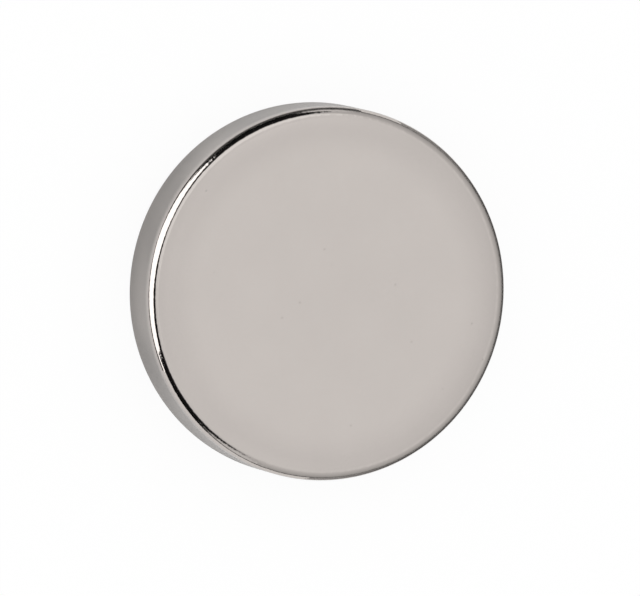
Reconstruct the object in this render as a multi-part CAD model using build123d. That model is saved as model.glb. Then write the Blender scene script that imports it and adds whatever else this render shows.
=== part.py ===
"""A flat disc magnet of sintered neodymium, iron and boron: pressed, ground, tumbled, then nickel plated.

It is one solid, turned about Z. The frame is +Z up, with the origin at the centre of the lower pole face,
which the disc rests on. From the middle outwards, a pole face is flat, then falls away very slightly over a
ring, the shoulder, and then turns through a round edge into the straight ground wall. Both ends are alike.
"""

from build123d import *
import math
import os

# Driving dimensions, in millimetres.
DIAMETER = 20.0  # over the plated wall
THICKNESS = 4.0  # from pole face to pole face
EDGE_RADIUS = 0.5  # the rounding that tumbling leaves between face and wall
SHOULDER_WIDTH = 1.0  # the ring over which a face falls away before the round edge
SHOULDER_DROP = 0.025  # how far it has fallen by then

PARTS_FOLDER = "parts"
NODE = "disc_magnet"


def upper_corner():
    """The section's upper corner, as points (radius, height) from the flat of the face out to the wall.

    The shoulder is an arc that leaves the flat without a break. The round edge takes over at the shoulder's
    slope and ends in line with the wall.
    """
    slope = 2 * math.atan(SHOULDER_DROP / SHOULDER_WIDTH)
    shoulder_radius = SHOULDER_WIDTH / math.sin(slope)
    edge_centre_radius = DIAMETER / 2 - EDGE_RADIUS
    edge_centre_height = THICKNESS - SHOULDER_DROP - EDGE_RADIUS * math.cos(slope)

    def on_edge(tilt):
        """The point of the round edge where the surface leans out from level by this angle."""
        radius = edge_centre_radius + EDGE_RADIUS * math.sin(tilt)
        return radius, edge_centre_height + EDGE_RADIUS * math.cos(tilt)

    shoulder_end = on_edge(slope)
    flat_end = (shoulder_end[0] - SHOULDER_WIDTH, THICKNESS)
    shoulder_middle = (
        flat_end[0] + shoulder_radius * math.sin(slope / 2),
        THICKNESS - shoulder_radius * (1 - math.cos(slope / 2)),
    )
    upright = math.pi / 2
    edge_middle = on_edge((slope + upright) / 2)
    wall_end = on_edge(upright)
    return flat_end, shoulder_middle, shoulder_end, edge_middle, wall_end


def lower(point):
    """The same point of the section at the lower end, mirrored at mid-height."""
    radius, height = point
    return radius, THICKNESS - height


def disc_magnet():
    """The section, from the axis out to the wall, turned one full turn about the axis."""
    flat_end, shoulder_middle, shoulder_end, edge_middle, wall_end = upper_corner()
    face_centre = (0, THICKNESS)
    with BuildPart() as magnet:
        with BuildSketch(Plane.XZ):
            with BuildLine():
                Line(face_centre, flat_end)
                ThreePointArc(flat_end, shoulder_middle, shoulder_end)
                ThreePointArc(shoulder_end, edge_middle, wall_end)
                Line(wall_end, lower(wall_end))
                ThreePointArc(lower(wall_end), lower(edge_middle), lower(shoulder_end))
                ThreePointArc(lower(shoulder_end), lower(shoulder_middle), lower(flat_end))
                Line(lower(flat_end), lower(face_centre))
                Line(lower(face_centre), face_centre)
            make_face()
        revolve(axis=Axis.Z)
    return magnet.part


def main():
    os.makedirs(PARTS_FOLDER, exist_ok=True)
    export_step(disc_magnet(), os.path.join(PARTS_FOLDER, NODE + ".step"))


main()
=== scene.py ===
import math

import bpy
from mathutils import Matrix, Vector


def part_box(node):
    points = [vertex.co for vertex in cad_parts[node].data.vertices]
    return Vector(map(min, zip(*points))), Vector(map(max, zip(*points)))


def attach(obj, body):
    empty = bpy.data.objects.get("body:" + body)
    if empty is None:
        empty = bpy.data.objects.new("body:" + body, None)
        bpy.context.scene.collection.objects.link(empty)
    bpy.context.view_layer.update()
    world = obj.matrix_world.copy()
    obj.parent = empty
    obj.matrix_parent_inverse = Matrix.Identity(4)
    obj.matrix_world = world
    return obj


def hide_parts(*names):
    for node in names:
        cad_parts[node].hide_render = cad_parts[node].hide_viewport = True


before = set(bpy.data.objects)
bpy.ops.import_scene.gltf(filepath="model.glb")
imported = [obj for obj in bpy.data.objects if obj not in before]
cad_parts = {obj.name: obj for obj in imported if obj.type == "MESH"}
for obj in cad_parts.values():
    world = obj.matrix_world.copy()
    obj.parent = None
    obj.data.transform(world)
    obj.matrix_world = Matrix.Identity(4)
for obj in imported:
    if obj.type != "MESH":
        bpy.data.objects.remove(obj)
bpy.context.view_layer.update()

# A nickel plated disc magnet, lying on one pole face on a white table under soft light. The disc is turned
# from its section, as the CAD solid is, and its plating is one metal with three finishes: the lapped faces,
# the tumbled edges and the ground wall. The wall and the lower edge are also painted darker, partly for the
# duller ground finish and partly as painted shade for the dim, shadowed reflection they show.

# Lengths are in metres and angles in degrees.
MM = 0.001
LOW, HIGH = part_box("disc_magnet")
RADIUS = (HIGH.x - LOW.x) / 2
THICKNESS = HIGH.z - LOW.z
EDGE_RADIUS = 0.5 * MM
SHOULDER_WIDTH = 1.0 * MM
SHOULDER_DROP = 0.025 * MM

# How finely the disc is turned.
TURN_STEPS = 384
FACE_RINGS = 6
SHOULDER_STEPS = 10
EDGE_STEPS = 20
WALL_STEPS = 8
WELD_DISTANCE = 0.001 * MM

# The camera looks down on the disc from this side. The studio is set out from the same side. The lens and
# the sensor are in millimetres.
CAMERA_SIDE = 134.0
CAMERA_HEIGHT = 70.84
CAMERA_TURN = 104.64
CAMERA_LENS = 800.0
PICTURE_WIDTH = 34.14 * MM
SENSOR_WIDTH = 36.0
AIM_RIGHT = 0.153 * MM
AIM_UP = -0.367 * MM
NEAREST_SEEN = 0.01
FURTHEST_SEEN = 10.0


# ---------------------------------------------------------------------------------------------------------
# Shader maths
# ---------------------------------------------------------------------------------------------------------


class Wire:
    """A number at a node's output. Arithmetic on it adds Math nodes to the same graph."""

    def __init__(self, graph, socket):
        self.graph = graph
        self.socket = socket

    def other(self, name):
        """Another output of the same node."""
        return Wire(self.graph, self.socket.node.outputs[name])

    def __add__(self, other):
        return self.graph.maths("ADD", self, other)

    def __sub__(self, other):
        return self.graph.maths("SUBTRACT", self, other)

    def __mul__(self, other):
        return self.graph.maths("MULTIPLY", self, other)

    def __truediv__(self, other):
        return self.graph.maths("DIVIDE", self, other)

    def __rsub__(self, other):
        return self.graph.maths("SUBTRACT", other, self)

    __radd__ = __add__
    __rmul__ = __mul__


class Graph:
    """The nodes of one material or world."""

    def __init__(self, owner):
        owner.use_nodes = True
        self.tree = owner.node_tree
        self.tree.nodes.clear()

    def node(self, kind, settings=None, inputs=None, output=0):
        """Adds a node, sets its settings, then the values or links of its sockets, and gives one output."""
        node = self.tree.nodes.new(kind)
        for name, value in (settings or {}).items():
            if name == "stops":
                set_stops(node.color_ramp, value)
            else:
                setattr(node, name, value)
        for name, value in (inputs or {}).items():
            if isinstance(value, Wire):
                self.tree.links.new(value.socket, node.inputs[name])
            else:
                node.inputs[name].default_value = value
        return Wire(self, node.outputs[output]) if len(node.outputs) else None

    def maths(self, operation, *values):
        return self.node("ShaderNodeMath", {"operation": operation}, dict(enumerate(values)))

    def above_zero(self, value):
        return self.maths("MAXIMUM", value, 0.0)

    def step(self, value, start, end, before=0.0, after=1.0):
        """Changes smoothly from one number before start to another after end."""
        inputs = {"Value": value, "From Min": start, "From Max": end, "To Min": before, "To Max": after}
        return self.node("ShaderNodeMapRange", {"interpolation_type": "SMOOTHSTEP"}, inputs)

    def band(self, value, start, full, fading, end):
        """0 up to start, 1 between full and fading, and 0 again from end on."""
        return self.step(value, start, full) * (1.0 - self.step(value, fading, end))

    def noise(self, place, size, detail=2.0):
        """Cloudy noise about 0.5, whose lumps are about this size."""
        return self.node("ShaderNodeTexNoise", {}, {"Vector": place, "Scale": 1.0 / size, "Detail": detail})

    def pits(self, place, apart, radius, share):
        """1 inside small round pits, about this far apart in the metal, of which only a share is kept."""
        cell = self.node("ShaderNodeTexVoronoi", {}, {"Vector": place, "Scale": 1.0 / apart})
        chance = self.node("ShaderNodeSeparateXYZ", {}, {"Vector": cell.other("Color")})
        inside = 1.0 - self.step(cell * apart, radius / 2, radius)
        return inside * self.maths("LESS_THAN", chance, share)


def set_stops(ramp, stops):
    """Gives a colour ramp its stops, each a place and a grey level."""
    while len(ramp.elements) > 1:
        ramp.elements.remove(ramp.elements[-1])
    for index, (place, level) in enumerate(stops):
        element = ramp.elements[0] if index == 0 else ramp.elements.new(place)
        element.position = place
        element.color = grey(level)


def grey(level):
    return (level, level, level, 1.0)


# ---------------------------------------------------------------------------------------------------------
# The disc
# ---------------------------------------------------------------------------------------------------------


def upper_section():
    """The upper half of the section, as (radius, height) points from the axis out to the wall."""
    slope = 2 * math.atan(SHOULDER_DROP / SHOULDER_WIDTH)
    shoulder_radius = SHOULDER_WIDTH / math.sin(slope)
    edge_centre_radius = RADIUS - EDGE_RADIUS
    edge_centre_height = THICKNESS - SHOULDER_DROP - EDGE_RADIUS * math.cos(slope)
    flat_radius = edge_centre_radius + EDGE_RADIUS * math.sin(slope) - SHOULDER_WIDTH
    points = [(flat_radius * ring / FACE_RINGS, THICKNESS) for ring in range(FACE_RINGS + 1)]
    for step in range(1, SHOULDER_STEPS + 1):
        tilt = slope * step / SHOULDER_STEPS
        fall = shoulder_radius * (1 - math.cos(tilt))
        points.append((flat_radius + shoulder_radius * math.sin(tilt), THICKNESS - fall))
    for step in range(1, EDGE_STEPS + 1):
        tilt = slope + (math.pi / 2 - slope) * step / EDGE_STEPS
        radius = edge_centre_radius + EDGE_RADIUS * math.sin(tilt)
        points.append((radius, edge_centre_height + EDGE_RADIUS * math.cos(tilt)))
    return points


def whole_section():
    """The upper half, the wall between the two edges, and the lower half, which mirrors the upper one."""
    upper = upper_section()
    lower = [(radius, THICKNESS - height) for radius, height in reversed(upper)]
    wall_radius, wall_top = upper[-1]
    wall_base = lower[0][1]
    wall = []
    for step in range(1, WALL_STEPS):
        wall.append((wall_radius, wall_top + (wall_base - wall_top) * step / WALL_STEPS))
    return upper + wall + lower


def turn_disc():
    """Draws the section point by point from the middle of the upper face, then spins it into the disc."""
    bpy.ops.object.select_all(action="DESELECT")
    section = whole_section()
    start = Vector((section[0][0], 0, section[0][1]))
    bpy.ops.mesh.primitive_plane_add(size=1 * MM, location=(0, 0, 0))
    disc = bpy.context.object
    disc.name = "plated_disc"
    disc.data.name = "plated_disc"
    bpy.ops.object.mode_set(mode="EDIT")
    bpy.ops.mesh.merge(type="CENTER")
    bpy.ops.transform.translate(value=start)
    for (radius, height), (next_radius, next_height) in zip(section, section[1:]):
        stride = (next_radius - radius, 0, next_height - height)
        bpy.ops.mesh.extrude_vertices_move(TRANSFORM_OT_translate={"value": stride})
    bpy.ops.mesh.select_all(action="SELECT")
    bpy.ops.mesh.spin(steps=TURN_STEPS, angle=math.tau, center=(0, 0, 0), axis=(0, 0, 1))
    bpy.ops.mesh.select_all(action="SELECT")
    bpy.ops.mesh.remove_doubles(threshold=WELD_DISTANCE)
    bpy.ops.mesh.normals_make_consistent(inside=False)
    bpy.ops.object.mode_set(mode="OBJECT")
    bpy.ops.object.shade_smooth()
    return disc


# ---------------------------------------------------------------------------------------------------------
# The plating
# ---------------------------------------------------------------------------------------------------------

# Between which distances in from the wall each finish and each darker tone fades. The last pair is measured
# down from the top: the wall's darker tone starts below the upper edge but runs on over the lower edge,
# where it is painted shade.
FACE_STARTS = (0.5 * MM, 1.3 * MM)
RIM_SHADE_ENDS = (0.8 * MM, 2.8 * MM)
EDGE_ENDS = (0.4 * MM, 0.6 * MM)
WALL_ENDS = (0.0, 0.2 * MM)
WALL_AND_SHADE_START_BELOW = (0.3 * MM, 1.0 * MM)

# The colour of the nickel, and how much each thing lightens or darkens it.
NICKEL = (0.600, 0.555, 0.525)
BASE_TONE = 1.01
CLOUD_TONE = 0.05
GRAIN_TONE = 0.04
# How much darker the faces are painted towards the rim.
RIM_SHADE = 0.075
PIT_SHADE = 0.09
# How much darker the wall and the lower edge are painted: partly the ground finish, partly painted shade.
WALL_TONE_AND_PAINTED_SHADE = 0.36
WALL_CLOUD_TONE = 0.5

EDGE_ROUGHNESS = 0.09
FACE_ROUGHNESS = 0.20
WALL_ROUGHNESS = 0.26
GRAIN_ROUGHNESS = 0.03

CLOUD_SIZE = 3.0 * MM
WALL_CLOUD_SIZE = 5.0 * MM
GRAIN_SIZE = 0.12 * MM
GRAIN_HEIGHT = 0.00008 * MM
RIPPLE_SIZE = 0.3 * MM
RIPPLE_HEIGHT = 0.0088 * MM
WALL_RIPPLE_SHARE = 0.3
PIT_SPACING = 1.0 * MM
PIT_RADIUS = 0.09 * MM
PIT_DEPTH = 0.0024 * MM
PIT_SHARE = 0.5


def nickel_plating():
    """Bright nickel: satin lapped faces, mirror-like tumbled edges and a duller ground wall. The wall and
    the lower edge are painted darker, partly as painted shade.
    """
    material = bpy.data.materials.new("nickel_plating")
    graph = Graph(material)
    place = graph.node("ShaderNodeTexCoord", output=3)
    x = graph.node("ShaderNodeSeparateXYZ", {}, {"Vector": place})
    y, z = x.other("Y"), x.other("Z")
    inset = RADIUS - graph.maths("SQRT", x * x + y * y)
    on_face = graph.step(inset, *FACE_STARTS)
    near_rim = 1.0 - graph.step(inset, *RIM_SHADE_ENDS)
    wall_and_shaded_lower_edge = (1.0 - graph.step(inset, *WALL_ENDS)) * graph.step(THICKNESS - z, *WALL_AND_SHADE_START_BELOW)
    rippled = (1.0 - graph.step(inset, *EDGE_ENDS)) * (1.0 - wall_and_shaded_lower_edge * (1.0 - WALL_RIPPLE_SHARE))

    cloud = graph.noise(place, CLOUD_SIZE) - 0.5
    wall_cloud = graph.noise(place, WALL_CLOUD_SIZE, detail=1.0) - 0.5
    grain = graph.noise(place, GRAIN_SIZE, detail=3.0) - 0.5
    ripple = graph.noise(place, RIPPLE_SIZE)
    pits = graph.pits(place, PIT_SPACING, PIT_RADIUS, PIT_SHARE)

    # The faces are painted a little darker within about 3 mm of the rim.
    tone = BASE_TONE + cloud * CLOUD_TONE + grain * GRAIN_TONE - near_rim * RIM_SHADE - pits * PIT_SHADE
    # The wall and the lower edge are painted darker: partly the duller ground finish, partly painted shade
    # for the dim, shadowed reflection they show.
    tone = tone - wall_and_shaded_lower_edge * (WALL_TONE_AND_PAINTED_SHADE - wall_cloud * WALL_CLOUD_TONE)
    colour = graph.node("ShaderNodeVectorMath", {"operation": "SCALE"}, {0: NICKEL, "Scale": tone})
    roughness = (
        EDGE_ROUGHNESS
        + on_face * (FACE_ROUGHNESS - EDGE_ROUGHNESS)
        + wall_and_shaded_lower_edge * (WALL_ROUGHNESS - EDGE_ROUGHNESS)
        + grain * GRAIN_ROUGHNESS
    )
    height = ripple * rippled * RIPPLE_HEIGHT + grain * GRAIN_HEIGHT - pits * PIT_DEPTH
    bump = graph.node("ShaderNodeBump", {}, {"Height": height, "Strength": 1.0, "Distance": 1.0})
    shader = graph.node(
        "ShaderNodeBsdfPrincipled",
        {},
        {"Base Color": colour, "Metallic": 1.0, "Roughness": roughness, "Normal": bump},
    )
    graph.node("ShaderNodeOutputMaterial", {}, {"Surface": shader})
    return material


# ---------------------------------------------------------------------------------------------------------
# The studio
# ---------------------------------------------------------------------------------------------------------

# Sides are in degrees round from the camera's side, positive to its right, and heights are in degrees above
# the horizon. A brightness of 1 is the white of the table. Where four places stand together, a thing begins
# at the first, is full from the second to the third, and has ended at the fourth.

# The dome's brightness at each height.
DOME = (
    (0, 0.10),
    (6, 0.14),
    (12, 0.48),
    (31, 0.62),
    (51, 0.74),
    (64, 0.82),
    (71, 0.98),
    (76, 0.90),
    (83, 1.12),
)
DOME_LIMIT = 1.2

# The crown is the brighter light above the room. It reaches further back on the left the higher it is. Its
# losses are the sides between which it dims, and by how much.
CROWN_HEIGHTS = (66, 74)
CROWN_LEFT_LOW = -142
CROWN_LEFT_HIGH = -176
CROWN_FADE = 30
CROWN_RIGHT = (100, 120)
CROWN_BASE = (-3, 6)
CROWN_LEVEL = 1.20
CROWN_LOSSES = ((-80, -30, 0.08), (0, 50, 0.17), (80, 105, 0.07))

# A pale patch on either side of the room.
FLANK_SIDES = (80, 87, 98, 106)
FLANK_HEIGHTS = (8, 14, 35, 50)
FLANK_LEVEL = 0.82

# The room is dark up to its ceiling, which is lower at the sides. Its ends lean outwards with height.
CEILING_SIDES = (25, 65)
CEILING_AT_FRONT = 64
CEILING_AT_SIDES = 56
CEILING_FADE = 6
LEFT_END = -84
LEFT_LEANS_FROM = 20
LEFT_LEANS_BY = 14
LEFT_FADE = 3
RIGHT_END = 80
RIGHT_LEANS_FROM = 25
RIGHT_FADE = 5
ROOM_DARKNESS = 0.985

# The window's head falls both ways from a peak left of the middle, and its sill climbs to its left end.
WINDOW_SIDES = (-44, -43, 42, 44)
WINDOW_LEVEL = 2.1
WINDOW_FADE = 1
HEAD_AT_FRONT = 46.5
HEAD_FALL = 0.38
LEFT_HEAD = 61.0
LEFT_HEAD_FALL = 0.5
SILL_SIDE = -27.0
SILL_CLIMB = 1.2


def toward(side, height=0.0):
    """The direction from the disc to a place at this side and height, both in degrees."""
    turn, rise = math.radians(side), math.radians(height)
    return Vector((math.sin(turn) * math.cos(rise), -math.cos(turn) * math.cos(rise), math.sin(rise)))


def side_of(graph, x, y):
    """How far round the disc a place lies from the camera's side, in degrees either way."""
    ahead = x * toward(CAMERA_SIDE).x + y * toward(CAMERA_SIDE).y
    across = x * toward(CAMERA_SIDE + 90).x + y * toward(CAMERA_SIDE + 90).y
    return graph.maths("ARCTAN2", across, ahead) * math.degrees(1)


def sky(graph, side, off_front, rise, ceiling):
    """The soft light that the metal shows: the dome, then the crown over it, then the two pale patches."""
    stops = [(height / 90, level / DOME_LIMIT) for height, level in DOME]
    light = graph.node("ShaderNodeValToRGB", {"stops": stops}, {0: rise / 90}) * DOME_LIMIT

    crown_left = graph.step(rise, *CROWN_HEIGHTS, CROWN_LEFT_LOW, CROWN_LEFT_HIGH)
    crown = graph.step(side - crown_left, 0, CROWN_FADE) * (1.0 - graph.step(side, *CROWN_RIGHT))
    crown = crown * graph.step(rise - ceiling, *CROWN_BASE)
    crown_level = CROWN_LEVEL
    for start, end, loss in CROWN_LOSSES:
        crown_level = crown_level - graph.step(side, start, end) * loss
    light = light * (1.0 - crown) + crown * crown_level

    flank = graph.band(off_front, *FLANK_SIDES) * graph.band(rise, *FLANK_HEIGHTS)
    return light * (1.0 - flank) + flank * FLANK_LEVEL


def room(graph, side, rise, ceiling):
    """1 in the dark room."""
    left_lean = graph.maths("MINIMUM", graph.above_zero(rise - LEFT_LEANS_FROM), LEFT_LEANS_BY)
    past_left = side - (LEFT_END - left_lean)
    past_right = side - (RIGHT_END + graph.above_zero(rise - RIGHT_LEANS_FROM))
    return (
        graph.step(past_left, -LEFT_FADE, LEFT_FADE)
        * (1.0 - graph.step(past_right, -RIGHT_FADE, RIGHT_FADE))
        * (1.0 - graph.step(rise - ceiling, -CEILING_FADE, CEILING_FADE))
    )


def window(graph, side, rise):
    """1 in the window."""
    head = graph.maths("MINIMUM", HEAD_AT_FRONT - side * HEAD_FALL, LEFT_HEAD + side * LEFT_HEAD_FALL)
    sill = (SILL_SIDE - side) * SILL_CLIMB
    return (
        graph.band(side, *WINDOW_SIDES)
        * (1.0 - graph.step(rise - head, -WINDOW_FADE, WINDOW_FADE))
        * graph.step(rise - sill, -WINDOW_FADE, WINDOW_FADE)
    )


def studio_world():
    """What lights the table is an even white dome. What the metal shows is the studio: soft light from
    above that dims to the horizon, and on the camera's side a bright window in the dark of the room."""
    world = bpy.data.worlds.new("studio")
    bpy.context.scene.world = world
    world.cycles.sampling_method = "NONE"
    graph = Graph(world)
    direction = graph.node("ShaderNodeTexCoord", output=0)
    x = graph.node("ShaderNodeSeparateXYZ", {}, {"Vector": direction})
    side = side_of(graph, x, x.other("Y"))
    off_front = graph.maths("ABSOLUTE", side)
    rise = graph.maths("ARCSINE", x.other("Z")) * math.degrees(1)
    ceiling = graph.step(off_front, *CEILING_SIDES, CEILING_AT_FRONT, CEILING_AT_SIDES)
    in_room = room(graph, side, rise, ceiling)
    in_window = window(graph, side, rise)
    studio = sky(graph, side, off_front, rise, ceiling) * (1.0 - in_room * ROOM_DARKNESS)
    studio = studio * (1.0 - in_window) + in_window * WINDOW_LEVEL

    by_eye = graph.node("ShaderNodeLightPath")
    by_metal = graph.maths("MAXIMUM", by_eye.other("Is Glossy Ray"), by_eye.other("Is Transmission Ray"))
    seen = graph.maths("MAXIMUM", by_eye, by_metal)
    light = studio * seen + (1.0 - seen)
    background = graph.node("ShaderNodeBackground", {}, {"Color": light, "Strength": 1.0})
    graph.node("ShaderNodeOutputWorld", {}, {"Surface": background})


TABLE_SIZE = 6.0
TABLE_DROP = 0.01 * MM
TABLE_WHITE = 0.98
TABLE_GLOW = 0.93


def table():
    """A white table top, wide enough to fill every view, and just clear of the disc. To the eye it is
    nearly plain white with a faint shadow under the disc. The metal mirrors it as it is lit."""
    bpy.ops.object.select_all(action="DESELECT")
    bpy.ops.mesh.primitive_plane_add(size=TABLE_SIZE, location=(0, 0, LOW.z - TABLE_DROP))
    top = bpy.context.object
    top.name = "table_top"
    material = bpy.data.materials.new("white_table")
    graph = Graph(material)
    by_eye = graph.node("ShaderNodeLightPath")
    paint = graph.node("ShaderNodeBsdfDiffuse", {}, {"Color": grey(TABLE_WHITE)})
    white = graph.node("ShaderNodeEmission", {}, {"Color": grey(1.0), "Strength": 1.0})
    both = graph.node("ShaderNodeMixShader", {}, {0: by_eye * TABLE_GLOW, 1: paint, 2: white})
    graph.node("ShaderNodeOutputMaterial", {}, {"Surface": both})
    top.data.materials.append(material)


# ---------------------------------------------------------------------------------------------------------
# The low cards
# ---------------------------------------------------------------------------------------------------------

# Each card stands between two sides, with a gap to the disc's wall.
CARD_BASE = 0.01 * MM
CARD_HEIGHT = THICKNESS - 0.3 * MM
CARD_FACETS = 360
FRONT_CARD_SIDES = (-92, 43)
FRONT_CARD_GAP = 5.0 * MM
BACK_CARD_SIDES = (105, 255)
BACK_CARD_GAP = 4.0 * MM

# On the front card, heights are in millimetres and climbs in millimetres for each degree round.
WHITE_SIDES = (-43, -41)
WHITE_LINE = 1.5
WHITE_LINE_FADE = 0.15
LEFT_CLIMB_SIDE = -5
LEFT_CLIMB = 0.08
RIGHT_CLIMB = 0.025
GREY_TOP = 3.4
GREY_AT_TABLE = 0.55
GREY_AT_TOP = 0.03
GREY_FADE_SIDES = (-60, -20)
GREY_FADE = 0.4

# The back card, by degrees from straight behind the disc.
BACK_FADE_SIDES = (40, 75)
BACK_AT_MIDDLE = 0.12
BACK_AT_ENDS = 0.42


def low_card(name, sides, gap, paint):
    """A low card curved round the disc between two sides, as bright as paint says by side and by height in
    millimetres. Only the metal sees it."""
    bpy.ops.object.select_all(action="DESELECT")
    bpy.ops.mesh.primitive_cylinder_add(
        vertices=CARD_FACETS,
        radius=RADIUS + gap,
        depth=CARD_HEIGHT,
        end_fill_type="NOTHING",
        location=(0, 0, CARD_BASE + CARD_HEIGHT / 2),
    )
    card = bpy.context.object
    card.name = name
    bpy.ops.object.transform_apply(location=True)
    bpy.ops.object.mode_set(mode="EDIT")
    bpy.ops.mesh.select_all(action="DESELECT")
    bpy.ops.object.mode_set(mode="OBJECT")
    first_side, last_side = sides
    for face in card.data.polygons:
        side = math.degrees(math.atan2(face.center.x, -face.center.y)) - CAMERA_SIDE
        past_first = (side - first_side) % 360
        face.select = past_first > last_side - first_side
    bpy.ops.object.mode_set(mode="EDIT")
    bpy.ops.mesh.delete(type="FACE")
    bpy.ops.object.mode_set(mode="OBJECT")
    material = bpy.data.materials.new(name)
    graph = Graph(material)
    place = graph.node("ShaderNodeTexCoord", output=3)
    x = graph.node("ShaderNodeSeparateXYZ", {}, {"Vector": place})
    brightness = paint(graph, side_of(graph, x, x.other("Y")), x.other("Z") / MM)
    glow = graph.node("ShaderNodeEmission", {}, {"Color": grey(1.0), "Strength": brightness})
    graph.node("ShaderNodeOutputMaterial", {}, {"Surface": glow})
    card.data.materials.append(material)
    card.visible_camera = False
    card.visible_diffuse = False
    card.visible_shadow = False


def front_paint(graph, side, height):
    """As bright as the window above a line that climbs to the card's ends, and grey below it, darker with
    height. Left of the window it is grey all the way up."""
    climb = graph.above_zero(LEFT_CLIMB_SIDE - side) * LEFT_CLIMB + graph.above_zero(side) * RIGHT_CLIMB
    over_line = height - (WHITE_LINE + climb)
    white = graph.step(over_line, -WHITE_LINE_FADE, WHITE_LINE_FADE) * graph.step(side, *WHITE_SIDES)
    shade = graph.step(height, 0, GREY_TOP, GREY_AT_TABLE, GREY_AT_TOP)
    shade = shade * graph.step(side, *GREY_FADE_SIDES, 1.0, GREY_FADE)
    return shade * (1.0 - white) + white * WINDOW_LEVEL


def back_paint(graph, side, height):
    """Nearly black behind the disc, and grey at the card's ends, at every height."""
    off_back = 180.0 - graph.maths("ABSOLUTE", side)
    return graph.step(off_back, *BACK_FADE_SIDES, BACK_AT_MIDDLE, BACK_AT_ENDS)


# ---------------------------------------------------------------------------------------------------------
# The camera
# ---------------------------------------------------------------------------------------------------------


def camera():
    """Looks down on the disc through a long lens, turned to bring the near side of the wall to the left."""
    centre = Vector((0, 0, (LOW.z + HIGH.z) / 2))
    back = toward(CAMERA_SIDE, CAMERA_HEIGHT)
    distance = PICTURE_WIDTH * CAMERA_LENS / SENSOR_WIDTH
    data = bpy.data.cameras.new("camera")
    data.lens = CAMERA_LENS
    data.sensor_width = SENSOR_WIDTH
    data.clip_start = NEAREST_SEEN
    data.clip_end = FURTHEST_SEEN
    eye = bpy.data.objects.new("camera", data)
    bpy.context.scene.collection.objects.link(eye)
    turn = (-back).to_track_quat("-Z", "Y").to_matrix() @ Matrix.Rotation(math.radians(CAMERA_TURN), 3, "Z")
    aim = centre + turn @ Vector((AIM_RIGHT, AIM_UP, 0))
    eye.matrix_world = Matrix.Translation(aim + back * distance) @ turn.to_4x4()
    bpy.context.scene.camera = eye


disc = turn_disc()
disc.data.materials.append(nickel_plating())
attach(disc, "root")
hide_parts("disc_magnet")
studio_world()
table()
low_card("front_card", FRONT_CARD_SIDES, FRONT_CARD_GAP, front_paint)
low_card("back_card", BACK_CARD_SIDES, BACK_CARD_GAP, back_paint)
camera()
bpy.context.scene.view_settings.view_transform = "Standard"
